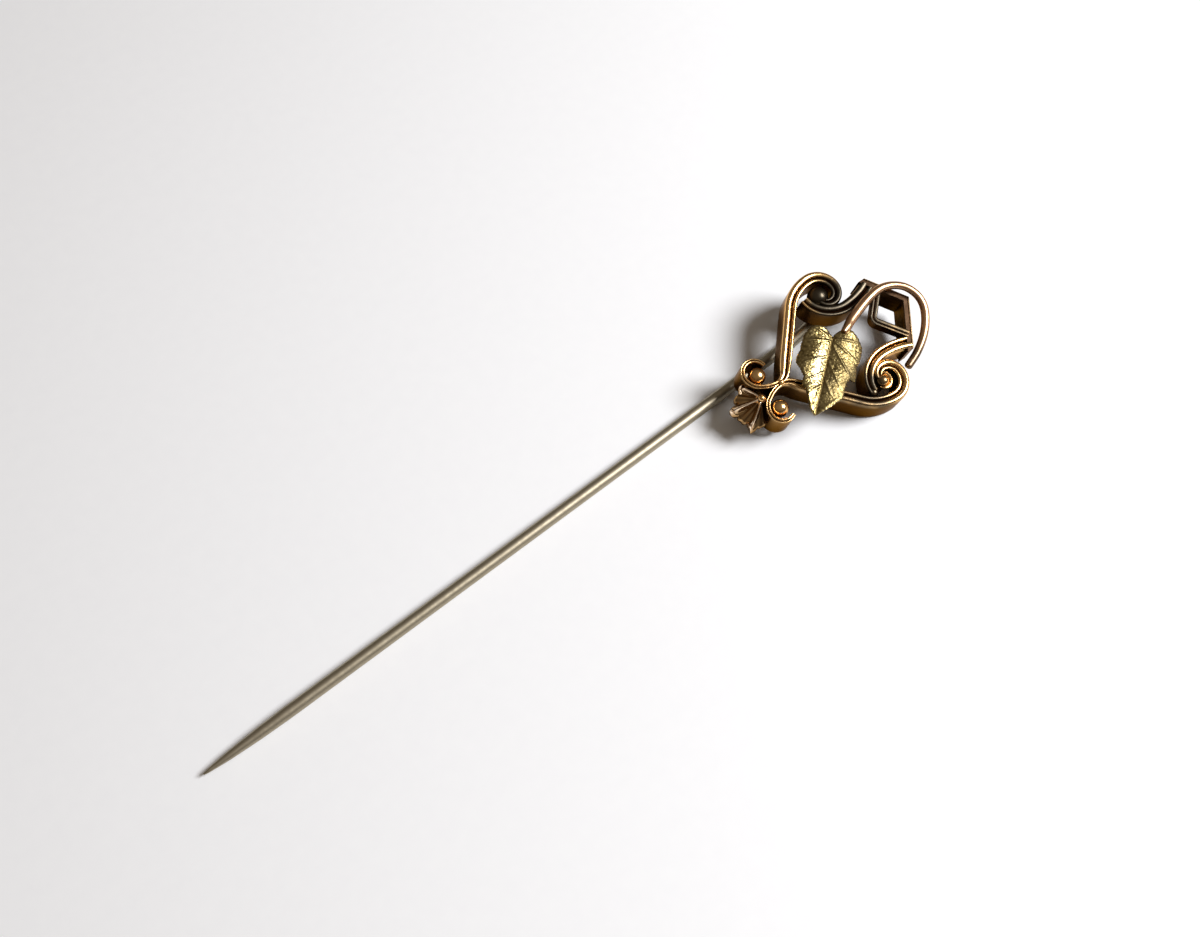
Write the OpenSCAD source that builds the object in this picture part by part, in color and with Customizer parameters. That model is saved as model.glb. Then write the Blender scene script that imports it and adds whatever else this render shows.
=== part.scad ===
/* [Stem] */
// Diameter of the stem wire
stem_diameter = 0.9; // [0.7:0.05:1.2]
// Length of the stem from its point to level with the hub of the head
stem_to_hub = 45.8; // [34:0.5:60]
// Length of the long taper at the point
point_length = 6.5; // [4:0.5:10]
// How far past the hub the stem runs behind the head
stem_past_hub = 9.8; // [8.5:0.1:10.2]
// Slope of the last stretch of the stem, which rises to its seat
stem_rise_angle = 14; // [8:1:20]
// Distance from the stem's centre line to the hub, to the head's right
stem_offset = 2.6; // [2:0.1:3]

/* [Head] */
// Depth of the scroll walls, from face to back
wall_depth = 2.2; // [1.4:0.1:2.8]
// Tilt of the head about the stem when the pin lies down
head_roll = 12; // [8:1:16]
// Lean of the head's axis away from the stem's line
head_lean = 3.5; // [0:0.5:6]
// Gap left for solder between pieces
solder_gap = 0.04; // [0.02:0.01:0.08]

/* [Scrolls] */
// Width of the scroll band on its straight bar
band_width = 0.88; // [0.7:0.02:1]
// Width of the band at the waist and round the small volutes
waist_width = 0.36; // [0.3:0.02:0.44]
// Length of the straight bar of each side scroll
bar_length = 4.4; // [4:0.1:4.8]
// Angle of the bars
bar_angle = 42.5; // [40:0.5:45]
// Radius of the ball in a large volute
large_ball_radius = 0.74; // [0.6:0.02:0.8]
// Radius of the ball in a small volute
small_ball_radius = 0.68; // [0.64:0.02:0.7]

/* [Crest] */
// Height of the roof's peak above the hub
roof_peak = 14.3; // [14.1:0.1:14.7]
// Half of the roof's width
roof_half_width = 3.2; // [3:0.05:3.3]
// Fall of the roof from its peak to its corners
roof_fall = 2.15; // [1.9:0.05:2.4]
// How much lower the roof's right corner is than its left
roof_tilt = 0.3; // [0:0.05:0.4]
// Thickness of the roof strip
roof_thickness = 0.5; // [0.3:0.05:0.6]
// Width of the V band under the roof
vee_width = 0.56; // [0.4:0.02:0.66]
// Depth of the V band, from its face to its back
vee_depth = 0.8; // [0.6:0.1:1.4]
// Sideways set of the roof's peak from the head's axis
peak_shift = -0.2; // [-0.3:0.05:0.1]
// How far the crest's face lies below the scrolls' face
crest_drop = 0.03; // [0.02:0.01:0.1]

/* [Palmette] */
// Length of the middle rib
rib_length = 2.35; // [2:0.05:2.6]
// Thickness of the palmette
palmette_thickness = 1.1; // [0.8:0.1:1.4]

/* [Tendril] */
// Diameter of the tendril wire along its loop
tendril_diameter = 0.58; // [0.5:0.02:0.62]
// Diameter of the tendril where it meets the leaf
tendril_stalk = 0.74; // [0.6:0.02:0.76]

/* [Leaf] */
// Length of the leaf along its main vein
leaf_length = 6.42; // [5.9:0.02:6.7]
// Thickness of the leaf's sheet
leaf_thickness = 0.24; // [0.18:0.02:0.3]
// Height of the fold along the main vein
leaf_fold = 0.55; // [0.3:0.05:0.7]

/* [Hidden] */
arc_step = 12;
stem_r = stem_diameter / 2;

// Columns: share of the point's length from the tip, share of the stem's radius
point_table = [[0, 0.12], [0.06, 0.3], [0.3, 0.62], [0.65, 0.88], [1, 1]];

// Paths of the bands, traced from the foot of the right-hand bar. Places and radii are shares
// of the bar's length, and in the crest shares of the crest's height.
// Columns: turn in degrees, radius at its start, radius at its end, band width there.
// A turn of 0 is a straight stretch, and its second column is the length.
bar_foot = [0.25, 0.716] * bar_length;
large_volute = [
    [0, 1, 0, band_width],
    [90 - bar_angle, 0.75, 0.75, band_width],
    [90, 0.341, 0.307, band_width],
    [90, 0.239, 0.193, band_width * 0.84],
    [80, 0.182, 0.155, band_width * 0.6]
];
small_volute = [
    [0, 0.193, 0, band_width * 0.8],
    [92 - bar_angle, 0.261, 0.261, waist_width],
    [28, 0.568, 0.568, waist_width],
    [0, 0.045, 0, waist_width],
    [60, 0.295, 0.273, waist_width],
    [90, 0.216, 0.211, waist_width],
    [90, 0.211, 0.195, waist_width],
    [100, 0.177, 0.114, waist_width * 0.8]
];
crest_scroll = [
    [-90, 0.276, 0.56, band_width * 1.08],
    [-25, 1.01, 1.01, band_width * 1.2]
];

// Cross-section of a band, from its outer wall to its inner wall.
// Columns: share of the width from the middle, share of the full height
band_profile = [
    [-0.5, 0], [-0.5, 0.94], [-0.45, 0.98], [-0.35, 1], [-0.15, 0.985], [0.02, 0.955],
    [0.08, 0.92], [0.13, 0.93], [0.22, 0.97], [0.36, 0.97], [0.48, 0.93], [0.5, 0]
];

// Columns: angle from the middle rib, share of the rib length, radius at the lobe
rib_table = [
    [-74, 0.78, 0.25], [-46, 0.74, 0.26], [-14, 1, 0.29], [12, 0.82, 0.27], [37, 0.95, 0.3],
    [63, 0.76, 0.25]
];
hub_radius = 0.34;

// Columns: share of half the roof's width, share of the way from the top of the large volutes
// to the roof's peak, height above the band's face in radii of the wire, and share of the way
// from the stalk's diameter to the wire's
tendril_table = [
    [-0.198, -0.565, 2.65, 0.7], [-0.28, -0.425, 2.25, 0.3], [-0.397, -0.146, 1.8, 0.05],
    [-0.516, 0.197, 1.7, 0.2], [-0.562, 0.492, 1.65, 0.6], [-0.491, 0.754, 1.55, 0.9],
    [-0.294, 0.974, 1.45, 1], [0, 1.096, 1.05, 0.9], [0.306, 1.096, 0.4, 0.7],
    [0.616, 0.959, -0.25, 0.7], [0.892, 0.736, -0.9, 0.7], [1.12, 0.44, -1.6, 0.75],
    [1.275, 0.118, -2.2, 0.85]
];

// Outline of the leaf from a centre on its main vein.
// Columns: angle from the tip's direction, share of the leaf's length
leaf_centre = 0.32;
leaf_outline = [
    [0, 0.68], [10, 0.587], [25, 0.495], [32, 0.485], [43, 0.385], [55, 0.331],
    [66, 0.324], [70, 0.392], [82, 0.372], [96, 0.344], [107, 0.386], [119, 0.425],
    [129, 0.475], [142, 0.483], [151, 0.48], [159, 0.479], [164, 0.438], [171, 0.409],
    [176, 0.366], [180, 0.317], [186, 0.343], [192, 0.381], [197, 0.407], [206, 0.432],
    [214, 0.444], [221, 0.43], [231, 0.408], [242, 0.366], [260, 0.327], [277, 0.346],
    [288, 0.355], [303, 0.334], [319, 0.341], [329, 0.425], [338, 0.449], [346, 0.525],
    [354, 0.631]
];
leaf_heading = -50;
leaf_lift = 0.16;

function cat(lists) = [for (l = lists) for (p = l) p];
function lerp(a, b, t) = a + (b - a) * t;

// Next point [x, y, heading, width] of an arc, step i of n, where the radii are shares of size
function arc_point(p, row, size, w0, n, i) =
    let (d = row[0] / n, r = size * lerp(row[1], row[2], (i + 0.5) / n), c = 2 * r * sin(abs(d) / 2))
    [p[0] + c * cos(p[2] + d / 2), p[1] + c * sin(p[2] + d / 2), p[2] + d,
        lerp(w0, row[3], (i + 1) / n)];
function arc(p, row, size, w0, n, i = 0) = i == n ? []
    : let (q = arc_point(p, row, size, w0, n, i)) concat([q], arc(q, row, size, w0, n, i + 1));
function stretch(p, row, size) = row[0] == 0
    ? [[p[0] + size * row[1] * cos(p[2]), p[1] + size * row[1] * sin(p[2]), p[2], row[3]]]
    : arc(p, row, size, p[3], max(1, ceil(abs(row[0]) / arc_step)));
function walk(path, rows, size, i = 0) = i == len(rows) ? path
    : walk(concat(path, stretch(path[len(path) - 1], rows[i], size)), rows, size, i + 1);

large_path = walk([[bar_foot[0], bar_foot[1], bar_angle, band_width]], large_volute, bar_length);
// Outer edge of the right-hand large volute, which rests on the surface
volute_edge = [for (p = large_path) [p[0] + sin(p[2]) * p[3] / 2, p[1] - cos(p[2]) * p[3] / 2]];
volute_top = max([for (p = volute_edge) p[1]]);
small_path = walk([[bar_foot[0], bar_foot[1], bar_angle + 180, band_width]], small_volute,
    bar_length);

// Each ball sits at the end of its volute, ahead and to the left of the band's last point
function volute_ball(p, ahead, left) = bar_length * [ahead * cos(p[2]) - left * sin(p[2]),
    ahead * sin(p[2]) + left * cos(p[2])] + [p[0], p[1]];
large_ball = volute_ball(large_path[len(large_path) - 1], 0.065, 0.049);
small_ball = volute_ball(small_path[len(small_path) - 1], 0.056, 0.096);

// The crest starts on top of the large volute and ends under the roof
crest_foot = large_ball + [0.068, -0.262] * bar_length;
crest_face = wall_depth - crest_drop;
crest_height = roof_peak - 0.7 * roof_fall - crest_foot[1];
crest_path = walk([[crest_foot[0], crest_foot[1], 180, band_width * 0.8]], crest_scroll,
    crest_height);

vee_foot = [peak_shift, roof_peak - 0.651 * crest_height];
left_fall = roof_fall - roof_tilt / 2;
right_fall = roof_fall + roof_tilt / 2;
vee_ends = [
    [-0.625 * roof_half_width, roof_peak - 0.604 * left_fall - 0.88 * roof_thickness],
    [0.66 * roof_half_width, roof_peak - 0.682 * right_fall - 0.68 * roof_thickness]
];
hub_place = [0.045, -0.023] * bar_length;
palmette_dip = 0.38 * rib_length;
waist_bead_y = 0.41 * bar_length;
waist_bead_radius = 0.24;

// Smooth wire through the tendril's rows, each split in steps along a Catmull-Rom curve
wire_sides = 12;
wire_steps = 3;
function spline(a, b, c, d, t) = 0.5 * (2 * b + (c - a) * t + (2 * a - 5 * b + 4 * c - d) * t * t
    + (3 * b - a - 3 * c + d) * t * t * t);
function tendril_row(i) = let (q = tendril_table[min(max(i, 0), len(tendril_table) - 1)])
    [q[0] * roof_half_width, lerp(volute_top, roof_peak, q[1]),
        wall_depth + q[2] * tendril_diameter / 2, lerp(tendril_stalk, tendril_diameter, q[3]) / 2];
tendril_points = concat([for (i = [0:len(tendril_table) - 2]) for (j = [0:wire_steps - 1])
    spline(tendril_row(i - 1), tendril_row(i), tendril_row(i + 1), tendril_row(i + 2),
        j / wire_steps)], [tendril_row(len(tendril_table) - 1)]);
function point(p) = [p[0], p[1], p[2]];

leaf_base = [-0.214 * roof_half_width, lerp(volute_top, roof_peak, -0.894)];
// The leaf is a fan of rings round a centre on its main vein
leaf_rings = [0.04, 0.3, 0.55, 0.8, 1];
leaf_edge = [for (i = [0:len(leaf_outline) - 1])
    let (a = leaf_outline[i], b = i + 1 < len(leaf_outline) ? leaf_outline[i + 1]
        : [360, leaf_outline[0][1]])
    each [a, (a + b) / 2]];
// Height of the sheet: a crease along the vein, and a crest halfway out in each half
leaf_crest = 0.235 * leaf_length / 1.5;
function leaf_height(t) = leaf_fold * (1 - 0.455 * pow(abs(t) / leaf_crest - 1, 2));
function leaf_point(row, f, side) =
    let (r = row[1] * leaf_length * f, s = leaf_centre * leaf_length + r * cos(row[0]),
        t = r * sin(row[0]))
    [leaf_base[0] + s * cos(leaf_heading) - t * sin(leaf_heading),
        leaf_base[1] + s * sin(leaf_heading) + t * cos(leaf_heading),
        wall_depth + leaf_lift + leaf_height(t) + side];

// Direction of a head point [x, y, z] once the head is leant and rolled
function turned(p) =
    let (a = -90 - head_lean, y = p[0] * sin(a) + p[1] * cos(a))
    [p[0] * cos(a) - p[1] * sin(a), y * cos(head_roll) - p[2] * sin(head_roll),
        y * sin(head_roll) + p[2] * cos(head_roll)];
hub = [stem_to_hub, -stem_offset, -min([for (p = volute_edge) turned([p[0], p[1], 0])[2]])];

// The stem's last stretch climbs from the surface to the back of the head
back_z = hub[2] + stem_offset * tan(head_roll);
stem_rise = back_z - stem_r - (stem_r + solder_gap) / cos(head_roll);
stem_bend_radius = 3;
bend_lap = 1;
bend_rise = stem_bend_radius * (1 - cos(stem_rise_angle));
stem_rise_length = (stem_rise - bend_rise) / sin(stem_rise_angle);
stem_end_x = stem_to_hub + stem_past_hub;
stem_bend_x = stem_end_x - stem_bend_radius * sin(stem_rise_angle)
    - stem_rise_length * cos(stem_rise_angle);

// The origin is under the middle of the whole pin
head_top = max([for (p = tendril_points) hub[0] + turned(point(p))[0] + p[3]]);
left_side = max([for (p = volute_edge) hub[1] + turned([-p[0], p[1], 0])[1]]);
right_side = min([for (p = volute_edge) hub[1] + turned([p[0], p[1], wall_depth])[1]]);
origin = [head_top / 2, (left_side + right_side) / 2, 0];

// A closed mesh over rings that all have the same number of points
module skin(rings) {
    n = len(rings[0]);
    m = len(rings);
    sides = [for (j = [0:m - 2]) for (i = [0:n - 1])
        [j * n + i, j * n + (i + 1) % n, (j + 1) * n + (i + 1) % n, (j + 1) * n + i]];
    first = [[for (i = [n - 1:-1:0]) i]];
    final = [[for (i = [0:n - 1]) (m - 1) * n + i]];
    polyhedron(points = cat(rings), faces = concat(sides, first, final), convexity = 10);
}

// Rings of the band's cross-section along a path; side -1 puts the outer wall on the right
function band_rings(path, side, face, back) = [for (p = path) [for (q = band_profile)
    [p[0] - sin(p[2]) * q[0] * p[3] * side, p[1] + cos(p[2]) * q[0] * p[3] * side,
        max(q[1] * face, back)]]];
function backwards(list) = [for (i = [len(list) - 1:-1:0]) list[i]];
module band(path, side, face = wall_depth, back = 0) {
    rings = band_rings(path, side, face, back);
    skin(side > 0 ? rings : backwards(rings));
}

module ball(place, radius) {
    centre_z = wall_depth - radius * 0.7;
    translate([place[0], place[1], 0]) {
        cylinder(h = centre_z, r = radius * 0.8, $fn = 20);
        translate([0, 0, centre_z]) sphere(r = radius, $fn = 20);
    }
}

module side_scroll() {
    band(large_path, 1);
    band(small_path, -1);
    ball(large_ball, large_ball_radius);
    ball(small_ball, small_ball_radius);
}

module roof() {
    drop = roof_thickness * norm([roof_half_width, roof_fall]) / roof_half_width;
    outer = [[-roof_half_width, roof_peak - left_fall], [peak_shift, roof_peak],
        [roof_half_width, roof_peak - right_fall]];
    linear_extrude(crest_face)
        polygon(concat(outer, [for (i = [2:-1:0]) [outer[i][0], outer[i][1] - drop]]));
}

// One arm of the V, from a little before the V's point to its end under the roof
module vee_arm(end, side) {
    along = (end - vee_foot) / norm(end - vee_foot);
    start = vee_foot - along * vee_width / 2;
    slope = atan2(along[1], along[0]);
    path = [[start[0], start[1], slope, vee_width], [end[0], end[1], slope, vee_width]];
    band(path, side, crest_face, crest_face - vee_depth);
}

module vee() {
    vee_arm(vee_ends[0], 1);
    vee_arm(vee_ends[1], -1);
}

// One lobe of the palmette with the ridge along its middle
module lobe(row) {
    reach = rib_length * row[1] - row[2];
    far = [sin(row[0]) * reach, -cos(row[0]) * reach, 0];
    dip = [0, 0, wall_depth - palmette_dip * row[1]];
    near = [0, 0, wall_depth - row[2]];
    hull() {
        translate(near) sphere(r = row[2] * 0.6, $fn = 16);
        translate(far + dip) sphere(r = row[2], $fn = 16);
        translate(far + dip - [0, 0, palmette_thickness - row[2]]) sphere(r = row[2] * 0.6, $fn = 16);
    }
    hull() {
        translate(near + [0, 0, row[2] * 0.8]) sphere(r = 0.13, $fn = 10);
        translate(far + dip + [0, 0, row[2] * 0.9]) sphere(r = 0.09, $fn = 10);
    }
}

module palmette() {
    translate([hub_place[0], hub_place[1], 0]) {
        for (row = rib_table) lobe(row);
        translate([0, 0, wall_depth - hub_radius * 0.4]) sphere(r = hub_radius, $fn = 20);
        cylinder(h = wall_depth - hub_radius * 0.4, r = hub_radius, $fn = 20);
    }
}

module waist_bead() {
    translate([0, waist_bead_y, wall_depth - waist_bead_radius * 0.2])
        sphere(r = waist_bead_radius, $fn = 16);
}

module place_head() {
    translate(hub - origin) rotate([head_roll, 0, 0]) rotate([0, 0, -90 - head_lean])
        children();
}

module scroll_frame() {
    color([0.72, 0.55, 0.3]) place_head() union() {
        for (m = [0, 1]) mirror([m, 0, 0]) side_scroll();
        for (m = [0, 1]) mirror([m, 0, 0]) band(crest_path, 1, crest_face);
        roof();
        vee();
        palmette();
        waist_bead();
    }
}

function wire_ring(p, along, r) =
    let (f = along / norm(along), up = [0, 0, 1], a = cross(f, up), u = a / norm(a), v = cross(u, f))
    [for (i = [0:wire_sides - 1]) p + r * (cos(i * 360 / wire_sides) * u + sin(i * 360 / wire_sides) * v)];
module tendril() {
    n = len(tendril_points);
    rings = [for (i = [0:n - 1]) let (p = tendril_points[i],
        along = point(tendril_points[min(i + 1, n - 1)]) - point(tendril_points[max(i - 1, 0)]))
        wire_ring(point(p), along, p[3])];
    color([0.72, 0.5, 0.38]) place_head() skin(rings);
}

module leaf() {
    top = [for (f = leaf_rings) [for (row = leaf_edge) leaf_point(row, f, leaf_thickness / 2)]];
    under = [for (f = leaf_rings) [for (row = leaf_edge) leaf_point(row, f, -leaf_thickness / 2)]];
    color([0.66, 0.58, 0.32]) place_head() skin(concat(top, backwards(under)));
}

module pin_stem() {
    color([0.68, 0.6, 0.38]) translate([0, 0, stem_r] - origin) {
        rotate([0, 90, 0]) rotate_extrude($fn = 48) polygon(concat([[0, 0]],
            [for (q = point_table) [q[1] * stem_r, q[0] * point_length]],
            [[stem_r, stem_bend_x], [0, stem_bend_x]]));
        translate([stem_bend_x, 0, stem_bend_radius]) rotate([90, 0, 0])
            rotate([0, 0, -90 - bend_lap]) rotate_extrude(angle = stem_rise_angle + 2 * bend_lap,
                $fn = 48) translate([stem_bend_radius, 0]) circle(r = stem_r - 0.01, $fn = 48);
        translate([stem_bend_x, 0, stem_bend_radius]) rotate([0, -stem_rise_angle, 0])
            translate([0, 0, -stem_bend_radius]) rotate([0, 90, 0])
                cylinder(h = stem_rise_length, r = stem_r, $fn = 48);
    }
}

pin_stem();
scroll_frame();
tendril();
leaf();
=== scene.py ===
import bpy
import math
import numpy as np
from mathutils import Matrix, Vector


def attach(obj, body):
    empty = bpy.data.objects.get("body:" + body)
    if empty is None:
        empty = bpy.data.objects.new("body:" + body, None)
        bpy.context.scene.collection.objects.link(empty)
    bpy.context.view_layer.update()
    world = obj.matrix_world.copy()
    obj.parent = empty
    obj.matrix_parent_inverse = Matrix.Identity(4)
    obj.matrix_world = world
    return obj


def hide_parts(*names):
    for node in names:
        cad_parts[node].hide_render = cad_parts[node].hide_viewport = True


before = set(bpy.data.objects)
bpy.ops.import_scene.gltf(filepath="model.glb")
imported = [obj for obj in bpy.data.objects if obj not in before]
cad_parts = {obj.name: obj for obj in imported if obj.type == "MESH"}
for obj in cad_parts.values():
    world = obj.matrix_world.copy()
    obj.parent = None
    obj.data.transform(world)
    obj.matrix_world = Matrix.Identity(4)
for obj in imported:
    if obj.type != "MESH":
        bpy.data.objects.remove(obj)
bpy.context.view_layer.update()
mm = 0.001

# All shapes are in mm. The head has a frame of its own: x to its right, y up its axis, z out of its face.
# hub is its zero point in the pin's frame, lean turns it away from the stem and roll tips it on its side.
headPlace = {"hub": (15.4095, 0.7396, 1.3236), "lean": 3.5, "roll": 12.0}

# Sizes that several pieces of the head follow. fall is the roof's mean drop from its peak to its corners,
# and tilt is how much lower the right-hand corner is. voluteTop is the large volutes' height above the hub.
headSize = {"depth": 2.2, "bandWidth": 0.88, "voluteTop": 10.4417, "crestFace": 2.17,
            "crestFoot": (4.249, 7.347), "peak": 14.3, "peakShift": -0.2, "halfWidth": 3.2, "fall": 2.15,
            "tilt": 0.3, "roofThickness": 0.5}
leftFall = headSize["fall"] - headSize["tilt"] / 2
rightFall = headSize["fall"] + headSize["tilt"] / 2
crestHeight = headSize["peak"] - 0.7 * headSize["fall"] - headSize["crestFoot"][1]


def headToPin(points):
    # Turn about z by a right angle and the lean, then about x by the roll, and add the hub
    turn, roll = math.radians(-90 - headPlace["lean"]), math.radians(headPlace["roll"])
    x = points[:, 0] * math.cos(turn) - points[:, 1] * math.sin(turn)
    y = points[:, 0] * math.sin(turn) + points[:, 1] * math.cos(turn)
    z = points[:, 2]
    across = y * math.cos(roll) - z * math.sin(roll)
    up = y * math.sin(roll) + z * math.cos(roll)
    return (np.stack([x, across, up], 1) + np.array(headPlace["hub"])) * mm


def closedSkin(rings, flip=False):
    # A tube over rings of equal size (rows x columns x 3): quads between neighbours, and a fan of triangles
    # about the middle point of each end ring
    rows, cols, _ = rings.shape
    points = np.concatenate([rings.reshape(-1, 3), rings[0].mean(0)[None], rings[-1].mean(0)[None]])
    i = np.arange(cols)
    k = (i + 1) % cols
    j = np.arange(rows - 1)[:, None] * cols
    quads = np.stack([j + i, j + k, j + cols + k, j + cols + i], -1).reshape(-1, 4)
    first = np.stack([k, i, np.full(cols, rows * cols)], 1)
    last = np.stack([(rows - 1) * cols + i, (rows - 1) * cols + k, np.full(cols, rows * cols + 1)], 1)
    if flip:
        quads, first, last = quads[:, ::-1], first[:, ::-1], last[:, ::-1]
    return points, quads, np.concatenate([first, last])


def makePiece(name, shells, node, material, sharpAngle=40, place=headToPin, extraMasks=()):
    # Joins closed shells into one object. A shell is (points in mm, quads, triangles, masks), where masks
    # has a value at each point under each mask's name. A mask that a shell leaves out is zero there.
    offset, points, faces = 0, [], []
    for shell in shells:
        points.append(shell[0])
        faces += (shell[1] + offset).tolist() + (shell[2] + offset).tolist()
        offset += len(shell[0])
    mesh = bpy.data.meshes.new(name)
    mesh.from_pydata(place(np.concatenate(points)).tolist(), [], faces)
    for mask in ("recess", "depth", "tarnish", *extraMasks):
        values = [np.broadcast_to(shell[3].get(mask, 0.0), len(shell[0])) for shell in shells]
        values = np.concatenate(values).astype(np.float32)
        mesh.attributes.new(mask, "FLOAT", "POINT").data.foreach_set("value", values)
    mesh.polygons.foreach_set("use_smooth", np.ones(len(mesh.polygons), dtype=bool))
    mesh.set_sharp_from_angle(angle=math.radians(sharpAngle))
    mesh.materials.append(material)
    mesh.update()
    piece = bpy.data.objects.new(name, mesh)
    bpy.context.scene.collection.objects.link(piece)
    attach(piece, "root")
    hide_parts(node)


def walk(start, rows, fine=2.5, straightStep=0.08):
    # A path of straights and arcs: headings add up the turns, and places add up steps along mid headings.
    # start is (x, y, heading in degrees, width). A row is a turn in degrees, the radius at its start and at
    # its end, and the width at its end. A turn of 0 is a straight, and its second column is its length.
    x0, y0, startHeading, width0 = start
    steps, turns, widths, width = [], [], [], width0
    for turn, a, b, widthEnd in rows:
        n = max(2, math.ceil(abs(turn) / fine) if turn else math.ceil(a / straightStep))
        t = (np.arange(n) + 0.5) / n
        radius = a + (b - a) * t
        d = np.full(n, math.radians(turn) / n)
        steps.append(2 * radius * np.sin(np.abs(d) / 2) if turn else np.full(n, a / n))
        turns.append(d)
        widths.append(width + (widthEnd - width) * (np.arange(n) + 1) / n)
        width = widthEnd
    step, d = np.concatenate(steps), np.concatenate(turns)
    heading = math.radians(startHeading) + np.cumsum(d)
    mid = heading - d / 2
    x = x0 + np.cumsum(step * np.cos(mid))
    y = y0 + np.cumsum(step * np.sin(mid))
    first = np.array([[x0, y0, math.radians(startHeading), width0]])
    return np.concatenate([first, np.stack([x, y, heading, np.concatenate(widths)], 1)])


def eased(values, reach):
    # Running mean over a path, with its ends held, so that widths and radii change without a kink
    pad = np.concatenate([np.full(reach, values[0]), values, np.full(reach, values[-1])])
    return np.convolve(pad, np.ones(2 * reach + 1) / (2 * reach + 1), "valid")


def catmull(rows, steps):
    # Catmull-Rom curve through the rows: each stretch is a cubic of its two rows and their neighbours
    p = np.concatenate([rows[:1], rows, rows[-1:]])
    t = (np.arange(steps) / steps)[None, :, None]
    a, b, c, d = p[:-3, None], p[1:-2, None], p[2:-1, None], p[3:, None]
    square, cube = 2 * a - 5 * b + 4 * c - d, 3 * b - a - 3 * c + d
    curve = 0.5 * (2 * b + (c - a) * t + square * t ** 2 + cube * t ** 3)
    return np.concatenate([curve.reshape(-1, rows.shape[1]), rows[-1:]])


def tubeRings(points, radius, sides):
    # Circles square to the curve, upright against the head's z
    along = np.gradient(points, axis=0)
    along /= np.linalg.norm(along, axis=1, keepdims=True)
    across = np.cross(along, np.array([0, 0, 1.0]))
    across /= np.linalg.norm(across, axis=1, keepdims=True)
    up = np.cross(across, along)
    a = np.linspace(0, 2 * math.pi, sides, endpoint=False)[None, :, None]
    circle = np.cos(a) * across[:, None] + np.sin(a) * up[:, None]
    return points[:, None] + radius[:, None, None] * circle


def newGroup(name, inputs, outputs):
    # A shader group with its named sockets. inputs are (name, value), where None stands for a vector.
    group = bpy.data.node_groups.new(name, "ShaderNodeTree")
    for label, value in inputs:
        kind = "NodeSocketVector" if value is None else "NodeSocketFloat"
        socket = group.interface.new_socket(name=label, in_out="INPUT", socket_type=kind)
        if value is not None:
            socket.default_value = value
    for label in outputs:
        group.interface.new_socket(name=label, in_out="OUTPUT", socket_type="NodeSocketFloat")
    return group, group.nodes.new("NodeGroupInput").outputs, group.nodes.new("NodeGroupOutput").inputs


def addNode(tree, kind, links=(), **settings):
    # A node with its settings, and links given as (socket name or number, source socket or plain value)
    node = tree.nodes.new(kind)
    for key, value in settings.items():
        setattr(node, key, value)
    for socket, source in links:
        if isinstance(source, bpy.types.NodeSocket):
            tree.links.new(source, node.inputs[socket])
        else:
            node.inputs[socket].default_value = source
    return node


def mathNode(tree, operation, a, b, clamp=False):
    node = addNode(tree, "ShaderNodeMath", [(0, a), (1, b)], operation=operation, use_clamp=clamp)
    return node.outputs[0]


def mixColour(tree, amount, a, b):
    # a and b are sockets or plain colours. Inputs 6 and 7 of a Mix node are its two colours.
    a, b = ((*c, 1) if isinstance(c, tuple) else c for c in (a, b))
    return addNode(tree, "ShaderNodeMix", [(0, amount), (6, a), (7, b)], data_type="RGBA").outputs[2]


def maskValue(tree, name):
    return addNode(tree, "ShaderNodeAttribute", attribute_name=name).outputs["Fac"]


# Tarnish: how much finer the mottle is than the patches, how strongly patches vary, how much the recess
# mask's painted shade adds, and the totals at which it starts and is full. Handling: waves of polishing,
# and short scratches by a stretched noise.
patina = {"finer": 5.0, "contrast": 1.3, "recessAdds": 0.75, "starts": 0.12, "full": 0.95}
handling = {"waveScale": 1300.0, "scratchTurn": (0.4, 0.2, 0.7),
            "scratchScale": (1400.0, 16000.0, 16000.0)}


def patinaGroup():
    # Patches of tarnish: a noise about zero plus the amount and the recess mask's painted shade, eased from
    # clear to full
    inputs = [("Vector", None), ("Amount", 0.3), ("Recess", 0.0), ("Scale", 900.0)]
    group, given, put = newGroup("patina", inputs, ["Mask", "Mottle"])
    big = addNode(group, "ShaderNodeTexNoise", [("Vector", given["Vector"]), ("Scale", given["Scale"]),
                                                ("Detail", 4.0), ("Roughness", 0.6)])
    fineScale = mathNode(group, "MULTIPLY", given["Scale"], patina["finer"])
    fine = addNode(group, "ShaderNodeTexNoise",
                   [("Vector", given["Vector"]), ("Scale", fineScale), ("Detail", 3.0)])
    patch = mathNode(group, "SUBTRACT", big.outputs["Fac"], 0.5)
    patch = mathNode(group, "MULTIPLY", patch, patina["contrast"])
    total = mathNode(group, "ADD", patch, given["Amount"])
    hidden = mathNode(group, "MULTIPLY", given["Recess"], patina["recessAdds"])
    total = mathNode(group, "ADD", total, hidden)
    soft = addNode(group, "ShaderNodeMapRange",
                   [("Value", total), ("From Min", patina["starts"]), ("From Max", patina["full"])],
                   interpolation_type="SMOOTHSTEP", clamp=True)
    group.links.new(soft.outputs["Result"], put["Mask"])
    group.links.new(fine.outputs["Fac"], put["Mottle"])
    return group


def handlingGroup():
    # Height of years of handling: faint waves from polishing, plus short fine scratches
    inputs = [("Vector", None), ("Waves", 1.0), ("Scratches", 1.0)]
    group, given, put = newGroup("handling", inputs, ["Height"])
    waves = addNode(group, "ShaderNodeTexNoise",
                    [("Vector", given["Vector"]), ("Scale", handling["waveScale"]), ("Detail", 2.0)])
    stretch = addNode(group, "ShaderNodeMapping",
                      [("Vector", given["Vector"]), ("Rotation", handling["scratchTurn"]),
                       ("Scale", handling["scratchScale"])])
    lines = addNode(group, "ShaderNodeTexNoise",
                    [("Vector", stretch.outputs[0]), ("Scale", 1.0), ("Detail", 2.0)])
    height = mathNode(group, "ADD", mathNode(group, "MULTIPLY", waves.outputs["Fac"], given["Waves"]),
                      mathNode(group, "MULTIPLY", lines.outputs["Fac"], given["Scratches"]))
    group.links.new(height, put["Height"])
    return group
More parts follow.
